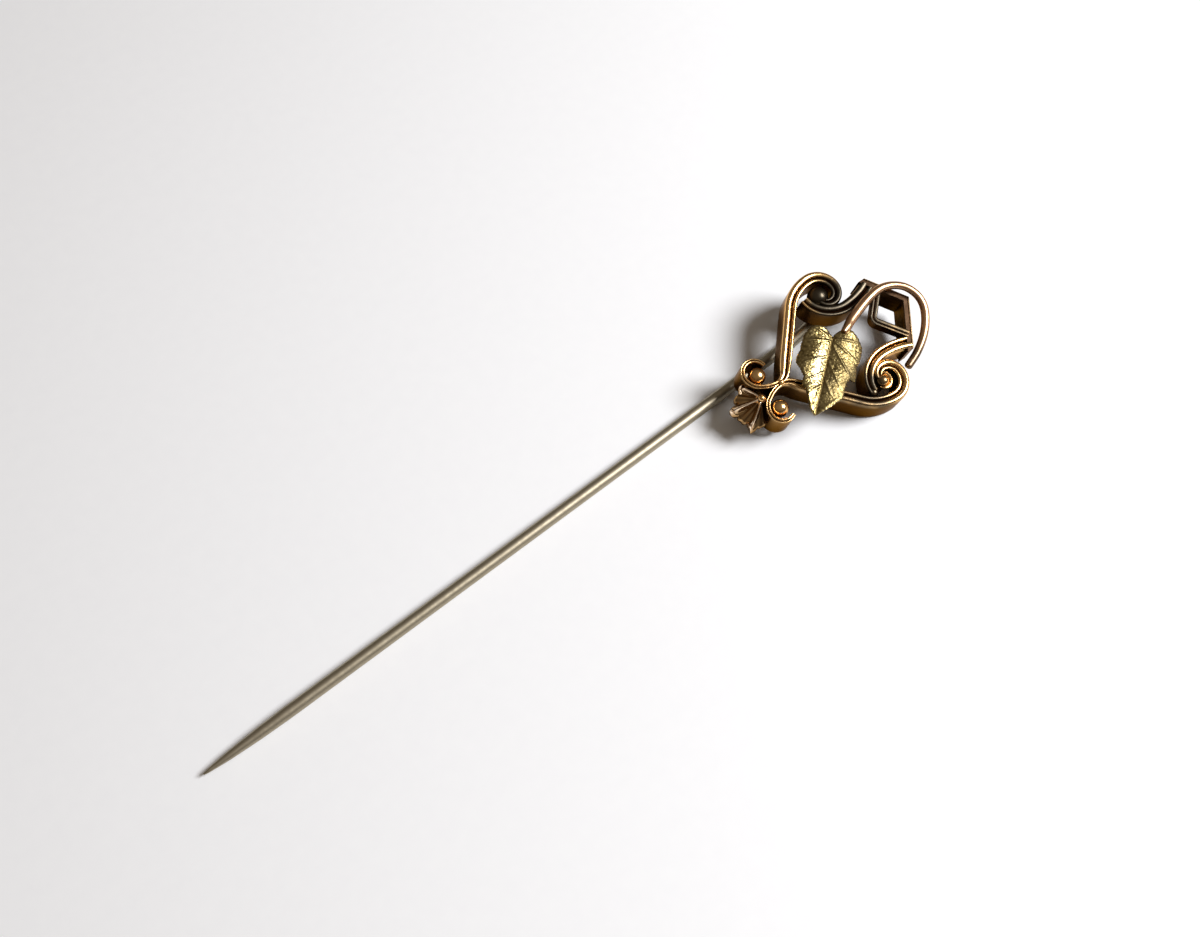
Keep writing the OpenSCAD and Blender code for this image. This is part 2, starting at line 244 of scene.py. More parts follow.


# Colours: clean and warm metal, a painted highlight colour, dull tarnish, a painted shade colour for
# recesses and walls, black for heavy tarnish and for painted shade, and edge at grazing angles. tarnish
# is the amount everywhere; mottle, film, and the strengths of the painted shade and of the black are how
# fully each colour comes in; depthPower is how soon a wall takes the painted shade below the face; polish
# and matt are the roughness of clean and of tarnished metal, and unevenGloss is what the mottle adds; bump
# is the height of waves and scratches in mm.
scrollLook = {"clean": (1.0, 0.7, 0.33), "warm": (0.84, 0.45, 0.15), "paintedHighlightColour": (1.0, 0.84, 0.66),
              "dull": (0.055, 0.052, 0.042), "paintedShadeColour": (0.066, 0.028, 0.011),
              "blackTarnishAndShadeColour": (0.008, 0.007, 0.006), "edge": (0.7, 0.54, 0.41), "patchScale": 420.0,
              "tarnish": 0.12, "mottle": 1.0, "film": 0.96, "paintedShadeStrength": 0.97, "depthPower": 0.11,
              "blackTarnishAndShade": 0.85, "polish": 0.16, "matt": 0.28, "unevenGloss": 0.08, "waves": 1.0,
              "scratches": 0.04, "bump": 0.02}
tendrilLook = dict(scrollLook, clean=(0.8, 0.5, 0.29), warm=(0.55, 0.3, 0.15), polish=0.27, tarnish=0.28)
stemLook = dict(scrollLook, clean=(0.46, 0.405, 0.3), warm=(0.35, 0.3, 0.21), dull=(0.32, 0.27, 0.2),
                paintedShadeColour=(0.2, 0.16, 0.09), edge=(1, 1, 1), polish=0.42, matt=0.5, tarnish=0.14,
                patchScale=260.0)
tarnishPatches, handlingMarks = patinaGroup(), handlingGroup()


def goldMaterial(name, look):
    # Polished gold with tarnish: the colour goes to dull by patches, and then to a painted shade colour by
    # the recess mask and by depth down the walls. Gives the material, its Object coordinates and the normal
    # of its bump.
    material = bpy.data.materials.new(name)
    material.use_nodes = True
    tree = material.node_tree
    shader = tree.nodes["Principled BSDF"].inputs
    place = addNode(tree, "ShaderNodeTexCoord").outputs["Object"]
    recess, depth, region = (maskValue(tree, mask) for mask in ("recess", "depth", "tarnish"))
    amount = mathNode(tree, "ADD", region, look["tarnish"])
    film = addNode(tree, "ShaderNodeGroup", node_tree=tarnishPatches)
    for label, source in (("Vector", place), ("Amount", amount), ("Recess", recess)):
        tree.links.new(source, film.inputs[label])
    film.inputs["Scale"].default_value = look["patchScale"]
    filmMask, mottle = film.outputs["Mask"], film.outputs["Mottle"]
    warmth = mathNode(tree, "MULTIPLY", mottle, look["mottle"])
    colour = mixColour(tree, warmth, look["clean"], look["warm"])
    # A negative tarnish mask is a painted highlight: the metal turns to the highlight colour
    paintedHighlight = mathNode(tree, "MULTIPLY", region, -1.0, clamp=True)
    colour = mixColour(tree, paintedHighlight, colour, look["paintedHighlightColour"])
    colour = mixColour(tree, mathNode(tree, "MULTIPLY", filmMask, look["film"]), colour, look["dull"])
    # Painted shade: recesses, and walls below the face, take the painted shade colour
    sunk = mathNode(tree, "MAXIMUM", recess, mathNode(tree, "POWER", depth, look["depthPower"]))
    colour = mixColour(tree, mathNode(tree, "MULTIPLY", sunk, look["paintedShadeStrength"]), colour, look["paintedShadeColour"])
    # What the tarnish mask holds above one is black: heavy tarnish, and painted shade on the roof's
    # inner wall
    over = mathNode(tree, "SUBTRACT", region, 1.0, clamp=True)
    over = mathNode(tree, "MULTIPLY", over, look["blackTarnishAndShade"], clamp=True)
    colour = mixColour(tree, over, colour, look["blackTarnishAndShadeColour"])
    tree.links.new(colour, shader["Base Color"])
    rough = addNode(tree, "ShaderNodeMapRange",
                    [("Value", filmMask), ("To Min", look["polish"]), ("To Max", look["matt"])])
    uneven = mathNode(tree, "MULTIPLY", mottle, look["unevenGloss"])
    tree.links.new(mathNode(tree, "ADD", rough.outputs["Result"], uneven), shader["Roughness"])
    shader["Metallic"].default_value = 1.0
    shader["Specular Tint"].default_value = (*look["edge"], 1)
    worn = addNode(tree, "ShaderNodeGroup", node_tree=handlingMarks)
    tree.links.new(place, worn.inputs["Vector"])
    worn.inputs["Waves"].default_value = look["waves"]
    worn.inputs["Scratches"].default_value = look["scratches"]
    bump = addNode(tree, "ShaderNodeBump", [("Height", worn.outputs["Height"]), ("Strength", 1.0),
                                            ("Distance", look["bump"] * mm)])
    tree.links.new(bump.outputs["Normal"], shader["Normal"])
    return material, place, bump.outputs["Normal"]


scrollGold = goldMaterial("scrollGold", scrollLook)[0]
tendrilGold = goldMaterial("tendrilGold", tendrilLook)[0]
stemGold = goldMaterial("stemGold", stemLook)[0]
print("materials made")

# The stem: a wire with a long taper, straight on the surface, then climbing to the back of the head.
# offset is its distance from the hub, to the head's left, and gap is left for the solder.
stem = {"radius": 0.45, "toHub": 45.8, "pastHub": 9.8, "offset": 2.6, "bendRadius": 3.0, "rise": 14.0,
        "gap": 0.04, "taper": 6.5, "sides": 48, "tipRings": 60, "rings": 620, "waviness": 0.004,
        # share of the taper from the tip, share of the radius
        "taperTable": ((0, 0.06), (0.012, 0.14), (0.06, 0.3), (0.3, 0.62), (0.65, 0.88), (1, 1)),
        # amount at the tip and its reach; amount behind the head, where it starts and its reach
        "tipTarnish": (0.32, 9), "headTarnish": (0.2, 49, 4)}


def makeStem():
    # Rings square to a centre line of a straight, an arc and a straight. The radius is the taper table,
    # eased, less a product of two slow sines for a drawn wire's faint waviness.
    rise, roll = math.radians(stem["rise"]), math.radians(headPlace["roll"])
    hubX, hubY, hubZ = headPlace["hub"]
    back = hubZ + stem["offset"] * math.tan(roll)
    climb = back - stem["radius"] - (stem["radius"] + stem["gap"]) / math.cos(roll)
    slope = (climb - stem["bendRadius"] * (1 - math.cos(rise))) / math.sin(rise)
    flat = stem["toHub"] + stem["pastHub"] - stem["bendRadius"] * math.sin(rise) - slope * math.cos(rise)
    bend = stem["bendRadius"] * rise
    total = flat + bend + slope
    s = np.concatenate([np.linspace(0, 1, stem["tipRings"], endpoint=False) ** 1.6 * stem["taper"],
                        np.linspace(stem["taper"], total, stem["rings"])])
    angle = np.clip((s - flat) / stem["bendRadius"], 0, rise)[:, None]
    past = np.clip(s - flat - bend, 0, None)[:, None]
    x = np.minimum(s, flat)[:, None] + stem["bendRadius"] * np.sin(angle) + past * math.cos(rise)
    z = stem["radius"] + stem["bendRadius"] * (1 - np.cos(angle)) + past * math.sin(rise)
    at, share = np.array(stem["taperTable"]).T
    r = stem["radius"] * eased(np.interp(s / stem["taper"], at, share), 2)
    r = (r * (1 - stem["waviness"] * (1 + np.sin(s * 1.7) * np.sin(s * 0.53 + 1))))[:, None]
    around = np.linspace(0, 2 * math.pi, stem["sides"], endpoint=False)
    rings = np.stack([
        hubX - stem["toHub"] + x - r * np.sin(around) * np.sin(angle),
        hubY + stem["offset"] + r * np.cos(around),
        z + r * np.sin(around) * np.cos(angle)], -1)
    along = np.concatenate([np.repeat(s, stem["sides"]), [0, total]])
    tip, tipReach = stem["tipTarnish"]
    head, headStart, headReach = stem["headTarnish"]
    tarnish = tip * np.exp(-along / tipReach) + head * np.clip((along - headStart) / headReach, 0, 1)
    return [(*closedSkin(rings), {"tarnish": tarnish})]


makePiece("pinStem", makeStem(), "pin_stem", stemGold, place=lambda points: points * mm)
print("stem made")

# The band's face: a broad ridge that rolls down on its outer side, a groove, a thin cut line and a narrow
# bead. Places and half widths are shares of the band's width from its middle. In mm, roll and groove are
# drops below the face, bead is how far the bead stands out of the groove, and line is how far it is cut
# below it. The powers say how full the two rounds are.
band = {"ridgeAt": -0.23, "ridgeHalf": 0.27, "beadAt": 0.33, "beadHalf": 0.16, "lineAt": 0.105,
        "roll": 0.42, "groove": 0.22, "bead": 0.15, "line": 0.05, "ridgePower": 0.6, "beadPower": 0.7,
        # points across the ridge, across the bead and down a wall
        "ridgePoints": 27, "beadPoints": 13, "wallPoints": 8,
        # how strongly the recess mask paints shade on each part
        "dark": {"outside": 0.25, "inside": 0.8, "bead": 0.7, "line": 0.85, "outerWall": 0.35,
                 "innerWall": 0.5, "under": 0.6}}

scrolls = {"waistWidth": 0.36, "barFoot": (1.1, 3.15), "barLength": 4.4, "barAngle": 42.5,
           # turn of the small volute's last stretch, right and left
           "curl": (30, 85),
           # balls: place, radius
           "balls": (((3.93, 8.45), 0.5), ((-3.95, 8.5), 0.8), ((1.45, 0.68), 0.66), ((-1.4, 0.72), 0.66)),
           "ballSink": 0.7, "postShare": 0.8,
           # bead on the waist: height above the hub, radius, how far its middle lies below the face
           "waistBead": (1.8, 0.24, 0.05),
           # rounded foot of the right-hand crest scroll: radius as a share of the width there, sink in
           # radii, and the radius of the post under it as a share of the foot's
           "foot": (0.53, 1.25, 0.985),
           # ring round the first ball: radius, wire radius, start and end angle, distance below the face
           "collar": (0.6, 0.13, 165, -60, 0.16)}

# Spots of tarnish, most of it on the left volute, the left crest and the roof: x, y, reach, amount
tarnishSpots = ((-3.5, 8.9, 1.5, 1.4), (-1.7, 9.8, 1.7, 1.0), (-2.3, 11.8, 1.6, 0.9),
                (0.6, 13.8, 2.2, 0.6), (2.6, 4.3, 1.5, 0.5), (4.6, 6.0, 1.7, 0.55), (5.4, 8.0, 1.5, 0.4),
                (3.3, 7.8, 1.0, 0.5), (0.7, 2.3, 1.1, 0.35), (1.2, 0.6, 0.9, 0.25), (-1.6, 0.9, 0.8, 0.2))


def tarnishAt(points):
    # Sum over the spots of the amount times a bell of the distance over the reach
    x, y = points[:, 0], points[:, 1]
    return sum(amount * np.exp(-((x - spotX) ** 2 + (y - spotY) ** 2) / reach ** 2)
               for spotX, spotY, reach, amount in tarnishSpots)


def bandProfile(shape):
    # Cross-section from the outer wall to the inner. Ridge and bead are each a half turn: the cosine is
    # the place across, and the drop falls off as one less a power of the sine.
    # Columns: share of the width, drop below the face, share of the depth (0 face, 1 back), recess mask of
    # painted shade.
    a = np.linspace(math.pi, 0, shape["ridgePoints"])
    b = np.linspace(math.pi, 0, shape["beadPoints"])
    outward, dark, n = np.cos(a) < 0, shape["dark"], shape["wallPoints"]
    ridge = np.stack([
        shape["ridgeAt"] + shape["ridgeHalf"] * np.cos(a),
        np.where(outward, shape["roll"], shape["groove"]) * (1 - np.sin(a) ** shape["ridgePower"]),
        0 * a,
        np.where(outward, dark["outside"], dark["inside"]) * (1 - np.sin(a)) ** 1.5], 1)
    bead = np.stack([
        shape["beadAt"] + shape["beadHalf"] * np.cos(b),
        shape["groove"] - shape["bead"] * np.sin(b) ** shape["beadPower"],
        0 * b,
        dark["bead"] * (1 - np.sin(b)) ** 1.5], 1)
    down = np.linspace(0.06, 0.97, n)
    low = shape["groove"] + shape["line"]
    outer = np.stack([np.full(n, -0.5), np.full(n, shape["roll"]), down[::-1],
                      np.full(n, dark["outerWall"])], 1)
    inner = np.stack([np.full(n, 0.5), np.full(n, low), down, np.full(n, dark["innerWall"])], 1)
    under = np.array([[across, shape["groove"], 1, dark["under"]] for across in (0.46, -0.46)])
    line = np.array([[shape["lineAt"], low, 0, dark["line"]]])
    return np.concatenate([outer, ridge, line, bead, inner, under])


def sweepBand(path, profile, side=1, mirror=False, face=headSize["depth"], back=0.0):
    # Carries the profile along the path: across it by the share of the width, down it by the relief and
    # the depth. side 1 has the outer wall on the right of the path; face and back are the heights of its
    # front and rear edges.
    x, y, heading, width = (path[:, k][:, None] for k in range(4))
    share, drop, down, recess = (profile[:, k][None] for k in range(4))
    top = face - drop * (width / headSize["bandWidth"]) ** 0.6
    across = share * width * side
    rings = np.stack([x - np.sin(heading) * across,
                      y + np.cos(heading) * across,
                      top + (back - top) * down], -1)
    if mirror:
        rings = rings * np.array([-1, 1, 1])
    skin = closedSkin(rings, flip=(side < 0) != mirror)
    # The recess mask and the depth down the walls carry painted shade into the material
    recess, depth = (np.append(np.broadcast_to(mask, rings.shape[:2]), [0, 0]) for mask in (recess, down))
    return (*skin, {"recess": recess, "depth": depth, "tarnish": tarnishAt(skin[0])})


def sideScrollPath(curl):
    # One S-scroll from the small volute's inner end, through the waist and along the bar, to the large
    # volute's end. It is walked both ways from the bar's foot, in rows as walk says.
    wide, waist, angle = headSize["bandWidth"], scrolls["waistWidth"], scrolls["barAngle"]
    large = ((0, scrolls["barLength"], 0, wide), (90 - angle, 3.3, 3.3, wide), (90, 1.5, 1.35, wide),
             (90, 1.05, 0.85, wide * 0.84), (80, 0.8, 0.68, wide * 0.6))
    small = ((0, 0.85, 0, wide * 0.8), (92 - angle, 1.15, 1.15, waist), (28, 2.5, 2.5, waist),
             (0, 0.2, 0, waist), (60, 1.3, 1.2, waist), (90, 0.95, 0.93, waist),
             (curl, 0.93, 0.86, waist * 0.8))
    out = walk((*scrolls["barFoot"], angle, wide), large)
    back = walk((*scrolls["barFoot"], angle + 180, wide), small)[::-1].copy()
    back[:, 2] -= math.pi
    path = np.concatenate([back[:-1], out])
    path[:, 3] = eased(path[:, 3], 6)
    return path


def crestPath():
    # Crest scroll: hooks under the large ball, climbs beside it and flares to its square end under the
    # roof's corner. Its radii are shares of the crest's height.
    wide, tall = headSize["bandWidth"], crestHeight
    path = walk((*headSize["crestFoot"], 180, wide * 0.8),
                ((-90, 0.276 * tall, 0.56 * tall, wide * 1.08),
                 (-25, 1.01 * tall, 1.01 * tall, wide * 1.2)))
    path[:, 3] = eased(path[:, 3], 4)
    return path


def ballShell(centre, radius, n=48, tarnished=True):
    # Rings of latitude from pole to pole: the radius times the sine across, and times the cosine up
    latitude = np.linspace(0.02, math.pi - 0.02, n // 2)[:, None]
    longitude = np.linspace(0, 2 * math.pi, n, endpoint=False)[None]
    rings = np.stack([
        centre[0] + radius * np.sin(latitude) * np.cos(longitude),
        centre[1] + radius * np.sin(latitude) * np.sin(longitude),
        centre[2] + radius * np.cos(latitude) + 0 * longitude], -1)
    points, quads, caps = closedSkin(rings, flip=True)
    # The lower half is painted darker as shade, by the recess mask and the depth
    low = np.clip((centre[2] - points[:, 2]) / radius, 0, 1)
    tarnish = tarnishAt(points) if tarnished else 0.0
    return points, quads, caps, {"recess": 0.25 * low, "depth": low, "tarnish": tarnish}


def postShell(place, radius, top):
    # Plain cylinder from the back of the head up into a ball
    a = np.linspace(0, 2 * math.pi, 32, endpoint=False)[None]
    z = np.array([0.04, top])[:, None]
    x, y = place[0] + radius * np.cos(a), place[1] + radius * np.sin(a)
    rings = np.stack([x + 0 * z, y + 0 * z, z + 0 * a], -1)
    # The post, under its ball, is painted in shade by the recess mask and depth, with some tarnish
    return (*closedSkin(rings), {"recess": 0.5, "depth": 0.9, "tarnish": 0.3})


def collarShell():
    # A short ring round the right-hand large ball: an arc of thin wire whose ends taper over nine rings
    (middleX, middleY), _ = scrolls["balls"][0]
    radius, wire, start, end, sink = scrolls["collar"]
    a, n = np.radians(np.linspace(start, end, 60)), np.arange(60)
    curve = np.stack([middleX + radius * np.cos(a), middleY + radius * np.sin(a),
                      np.full_like(a, headSize["depth"] - sink)], 1)
    taper = np.clip(np.minimum(n, n[::-1]) / 9, 0.35, 1)
    return (*closedSkin(tubeRings(curve, wire * taper, 20), flip=True), {})


def makeBalls(crest):
    shells, depth = [], headSize["depth"]
    for place, radius in scrolls["balls"]:
        middle = depth - radius * scrolls["ballSink"]
        shells.append(ballShell((*place, middle), radius))
        shells.append(postShell(place, radius * scrolls["postShare"], middle))
    beadY, beadRadius, beadSink = scrolls["waistBead"]
    shells.append(ballShell((0, beadY, depth - beadSink), beadRadius, n=32))
    share, sink, postShare = scrolls["foot"]
    foot, radius = crest[0, :2], crest[0, 3] * share
    middle = headSize["crestFace"] - radius * sink
    shells += [ballShell((*foot, middle), radius), postShell(foot, radius * postShare, middle)]
    return shells + [collarShell()]


def makeFramePiece(name, shells, sharpAngle=40):
    makePiece(name, shells, "scroll_frame", scrollGold, sharpAngle)


moulding, crest = bandProfile(band), crestPath()
makeFramePiece("sideScrolls", [sweepBand(sideScrollPath(curl), moulding, mirror=mirror)
                               for curl, mirror in zip(scrolls["curl"], (False, True))])
makeFramePiece("crestScrolls", [sweepBand(crest, moulding, mirror=mirror, face=headSize["crestFace"])
                                for mirror in (False, True)])
makeFramePiece("scrollBalls", makeBalls(crest))
print("scrolls made")

# Roof strip, on edge: bevel of its rim, width of the rim as a share of the thickness, sink of its face
# The recess mask also adds painted shade to the roof's tarnish, in proportion
roof = {"bevel": 0.06, "rim": 0.12, "sunk": 0.07, "steps": 24, "tarnish": 0.55, "recessShadeAdds": 0.4}


def makeRoof():
    # A bent strip: a raised rim along its outer edge, a face sunk below the rim, and walls of the full
    # depth. Each row of the section is carried along the roof's outer line, which runs straight from
    # corner to peak.
    half, peak, shift = headSize["halfWidth"], headSize["peak"], headSize["peakShift"]
    drop = headSize["roofThickness"] * math.hypot(half, headSize["fall"]) / half
    steps, b, rim, face = roof["steps"], roof["bevel"], roof["rim"], headSize["crestFace"]
    low = face - roof["sunk"]
    x = np.concatenate([np.linspace(-half, shift, steps), np.linspace(shift, half, steps)[1:]])
    y = np.interp(x, (-half, shift, half), (peak - leftFall, peak, peak - rightFall))
    # Columns: share of the thickness from the outer wall, height, recess mask of painted shade
    section = np.array((
        (0, 0.02, 0.9), (0, 0.6, 0.8), (0, 1.5, 0.6), (0, face - 2 * b, 0.3), (0.03, face - 0.7 * b, 0),
        (0.09, face, 0), (rim + 0.06, face, 0), (rim + 0.12, face - 0.6 * b, 0.5), (rim + 0.16, low, 0.9),
        (0.6, low, 0.6), (0.9, low, 0.6), (0.97, low - 0.4 * b, 0.5), (1, low - b, 0.8), (1, 1.5, 1),
        (1, 0.6, 1), (1, 0.02, 1)))
    lines = [np.stack([x, y - share * drop, np.full_like(x, height)], 1) for share, height, _ in section]
    rings = np.stack(lines, 1)
    points, quads, caps = closedSkin(rings)
    dark = np.append(np.tile(section[:, 2], len(x)), [0.9, 0.9])
    down = np.clip(1 - points[:, 2] / face, 0, 1)
    # The inner wall, where the recess mask is one, is painted black as shade
    tarnish = roof["tarnish"] + roof["recessShadeAdds"] * dark + (dark == 1)
    return [(points, quads, caps, {"recess": dark, "depth": down, "tarnish": tarnish})]


# V band: x of its ends as shares of the roof's half width, their drop as shares of the fall on that side
# and of the roof's thickness, and the drop of its point as a share of the crest's height
vee = {"ends": ((-0.625, 0.604, 0.88), (0.66, 0.682, 0.68)), "pointDrop": 0.651, "width": 0.56,
       "depth": 0.8, "bend": 0.42, "tarnish": 0.4, "band": dict(band, roll=0.2, groove=0.07, bead=0.05)}


def makeVee():
    # One shallow band from under the roof down to the rounded point of the V and up again: two straights
    # and an arc that touches both
    peak, thick, wide = headSize["peak"], headSize["roofThickness"], vee["width"]
    point = np.array([headSize["peakShift"], peak - vee["pointDrop"] * crestHeight])
    left, right = (np.array([across * headSize["halfWidth"], peak - down * fall - under * thick])
                   for (across, down, under), fall in zip(vee["ends"], (leftFall, rightFall)))
    down, up = (math.degrees(math.atan2(y, x)) for x, y in (point - left, right - point))
    trim = vee["bend"] * math.tan(math.radians(up - down) / 2)
    first, second = (np.linalg.norm(arm) - trim for arm in (point - left, right - point))
    path = walk((*left, down, wide), ((0, first, 0, wide), (up - down, vee["bend"], vee["bend"], wide),
                                      (0, second, 0, wide)))
    shell = sweepBand(path, bandProfile(vee["band"]), -1, False, headSize["crestFace"],
                      headSize["crestFace"] - vee["depth"])
    shell[3]["tarnish"] += vee["tarnish"]
    return [shell]


makeFramePiece("roofStrips", makeRoof(), sharpAngle=32)
makeFramePiece("veeBand", makeVee())
print("crest made")

# Palmette: length of its longest rib, span of the fan in degrees from straight down, how far the face dips
# towards the rim, depth of the valleys between ribs, and half the angle of one scallop of the rim
palmette = {"hub": (0.2, -0.1), "length": 2.35, "span": (-92, 80), "columns": 431, "rows": 56,
            "thickness": 1.1, "dip": 0.8, "valley": 0.42, "scallop": 14.5, "scallopDepth": 0.26,
            "hubRadius": 0.27, "postRadius": 0.32, "faceSink": 0.12, "hubSink": 0.136, "scoop": 0.2,
            # last two: painted highlight on the tall ribs' tops, and strength of painted shade in valleys
            "roundOver": 0.2, "flutes": 26, "paintedHighlight": 0.8, "recess": 0.65,
            # ribs: angle from straight down, share of the length, height, half width, bend at the rim
            "ribs": ((-75, 0.77, 0.42, 0.15, 0), (-46, 0.74, 0.1, 0.16, 0), (-14, 1.0, 0.5, 0.17, 0),
                     (12, 0.82, 0.1, 0.16, 0), (40, 0.97, 0.46, 0.14, -7), (63, 0.76, 0.12, 0.16, 0))}


def makePalmette():
    # A fan in polar form about the hub: the reach is the ribs' length times a half circle about the nearest
    # rib, and the height is a flat-topped bell about each rib, over a face that dips towards the rim
    angle = np.linspace(*palmette["span"], palmette["columns"])
    out = np.linspace(0, 1, palmette["rows"])[:, None] ** 0.8
    ribs, length, depth = np.array(palmette["ribs"]), palmette["length"], headSize["depth"]
    away = np.abs(angle[:, None] - ribs[:, 0]).min(1)
    arch = np.sqrt(np.clip(1 - (away / palmette["scallop"]) ** 2, 0, 1))
    reach = length * np.interp(angle, ribs[:, 0], ribs[:, 1])
    reach = eased(reach * (1 - palmette["scallopDepth"] + palmette["scallopDepth"] * arch), 3)
    r = reach * out
    far = np.clip(r / length, 0, 1)
    ridge, tall = np.zeros_like(r), np.zeros_like(r)
    for place, _, height, width, bend in palmette["ribs"]:
        off = np.radians(angle - place - bend * far ** 2) * np.maximum(r, 0.05)
        shape = np.exp(-np.abs(off / (width * (0.7 + 0.6 * far))) ** 2.6)
        # Only the three tall ribs get the painted highlight and the scoop
        ridge = np.maximum(ridge, shape * (height > 0.2))
        tall = np.maximum(tall, height * shape)
    start = np.clip(r / 0.45, 0, 1)
    # Scoop in each rib's end, just inside the rim
    scoop = palmette["scoop"] * np.clip((out - 0.78) / 0.1, 0, 1) * ridge
    scoop = scoop * np.clip((0.96 - out) / 0.06, 0, 1)
    edge = np.clip((out - 0.94) / 0.06, 0, 1) ** 2
    top = depth - palmette["faceSink"] - palmette["dip"] * far ** 1.3
    top = top - palmette["valley"] * start + tall * start - scoop - palmette["roundOver"] * edge
    under = np.minimum(depth - palmette["dip"] * far - 0.35, top - 0.12)
    under = under - palmette["thickness"] * 0.45 * (1 - edge)
    x = palmette["hub"][0] + np.sin(np.radians(angle)) * r
    y = palmette["hub"][1] - np.cos(np.radians(angle)) * r
    # Each ring runs over the face from one side to the other and returns under the back
    rings = np.concatenate([np.stack([x, y, top], -1), np.stack([x, y, under], -1)[:, ::-1]], 1)[1:]
    flutes = 0.5 + 0.5 * np.sin(np.radians(angle) * palmette["flutes"])
    # Painted shade in the valleys between tall ribs and in the scoops, and full painted shade under the
    # back
    dark = np.clip((1 - ridge) * (0.75 + 0.25 * flutes) * start + scoop * 3, 0, 1)
    dark = np.concatenate([dark, np.ones_like(dark)], 1)[1:]
    # Painted highlight on the tall ribs, as a negative tarnish mask
    paintedHighlight = np.concatenate([-palmette["paintedHighlight"] * ridge, np.zeros_like(ridge)], 1)[1:]
    fan = (*closedSkin(rings, flip=True), {"recess": palmette["recess"] * np.append(dark, [0.5, 0.5]),
                                           "tarnish": np.append(paintedHighlight, [0, 0])})
    middle = depth - palmette["hubSink"]
    hub = ballShell((*palmette["hub"], middle), palmette["hubRadius"], n=40, tarnished=False)
    return [fan, hub, postShell(palmette["hub"], palmette["postRadius"], middle)]


makeFramePiece("palmette", makePalmette(), sharpAngle=50)
print("palmette made")

tendril = {"thick": 0.58, "stalk": 0.74, "sides": 40, "steps": 26,
           # painted shade grows from this x towards the head's right, where the wire dips behind the head:
           # start, reach, amount
           "shade": (2.2, 2, 0.5),
           # shares of the roof's half width and of the way from the volutes' top to the peak, height
           # above the face in radii, and share of the way from the stalk's thickness to the wire's; the
           # first row is the thin end of the stalk, which reaches over the edge of the leaf
           "table": ((-0.148, -0.712, 3.02, 1.9), (-0.203, -0.565, 2.7, 0.7), (-0.28, -0.425, 2.25, 0.3),
                     (-0.397, -0.146, 1.8, 0.05), (-0.516, 0.197, 1.7, 0.2), (-0.562, 0.492, 1.65, 0.6),
                     (-0.491, 0.754, 1.55, 0.9), (-0.294, 0.974, 1.45, 1), (0, 1.096, 1.05, 0.9),
                     (0.306, 1.096, 0.4, 0.7), (0.616, 0.959, -0.25, 0.7), (0.892, 0.736, -0.9, 0.7),
                     (1.12, 0.44, -1.6, 0.75), (1.275, 0.118, -2.2, 0.85))}


def makeTendril():
    # A round wire along a smooth curve through the table's rows, its two ends rounded over five rings
    rows = np.array(tendril["table"], dtype=float)
    rows[:, 0] *= headSize["halfWidth"]
    rows[:, 1] = headSize["voluteTop"] + rows[:, 1] * (headSize["peak"] - headSize["voluteTop"])
    rows[:, 2] = headSize["depth"] + rows[:, 2] * tendril["thick"] / 2
    curve = catmull(rows, tendril["steps"])
    radius = (tendril["stalk"] + (tendril["thick"] - tendril["stalk"]) * curve[:, 3]) / 2
    n = np.arange(len(curve))
    for ring, amount in ((n, 0.6), (n[::-1], 0.5)):
        radius = radius * np.sqrt(1 - np.clip(1 - ring / 5, 0, 1) ** 2 * amount)
    points, quads, caps = closedSkin(tubeRings(curve[:, :3], radius, tendril["sides"]))
    start, reach, amount = tendril["shade"]
    return [(points, quads, caps, {"tarnish": np.clip((points[:, 0] - start) / reach, 0, 1) * amount})]


makePiece("tendrilWire", makeTendril(), "tendril", tendrilGold)
print("tendril made")

# Leaf: s runs from its stalk end to its tip along the main vein, and t to the left of it. crest is how
# far from the vein each half is highest, as a share of the length, and base is the stalk end's place, as
# shares of the roof's half width and of the way from the volutes' top to the peak.
leaf = {"length": 6.42, "centre": 0.32, "thickness": 0.24, "fold": 0.55, "crest": 0.1567, "lift": 0.16,
        "base": (-0.214, -0.894), "heading": -50.0, "angles": 720, "rings": 64, "teeth": 31,
        "toothDepth": 0.006, "vein": 0.016, "veinWidth": 0.1, "mainVein": 0.02, "grain": 0.012,
        "sway": 0.05, "foldShare": 0.455,
        # worn patch, without punch marks and painted bright as a highlight: its s and t, its reach along
        # each, amount
        "worn": (2.8, -0.62, 1.3, 0.4, 0.5),
        # outline: angle from the tip's direction, share of the length from the centre
        "outline": (
            (0, 0.68), (10, 0.587), (25, 0.495), (32, 0.485), (43, 0.385), (55, 0.331), (66, 0.324),
            (70, 0.392), (82, 0.372), (96, 0.344), (107, 0.386), (119, 0.425), (129, 0.475), (142, 0.483),
            (151, 0.48), (159, 0.479), (164, 0.438), (171, 0.409), (176, 0.366), (180, 0.317), (186, 0.343),
            (192, 0.381), (197, 0.407), (206, 0.432), (214, 0.444), (221, 0.43), (231, 0.408), (242, 0.366),
            (260, 0.327), (277, 0.346), (288, 0.355), (303, 0.334), (319, 0.341), (329, 0.425),
            (338, 0.449), (346, 0.525), (354, 0.631)),
        # side veins: start as a share of the main vein, angle to it, length
        "veins": ((0.04, 96, 2.2), (0.05, 58, 2.6), (0.08, 34, 3.4), (0.3, 30, 2.6), (0.52, 28, 1.7),
                  (0.05, -108, 2.0), (0.07, -74, 2.4), (0.26, -56, 2.2), (0.45, -46, 1.9),
                  (0.62, -40, 1.3))}

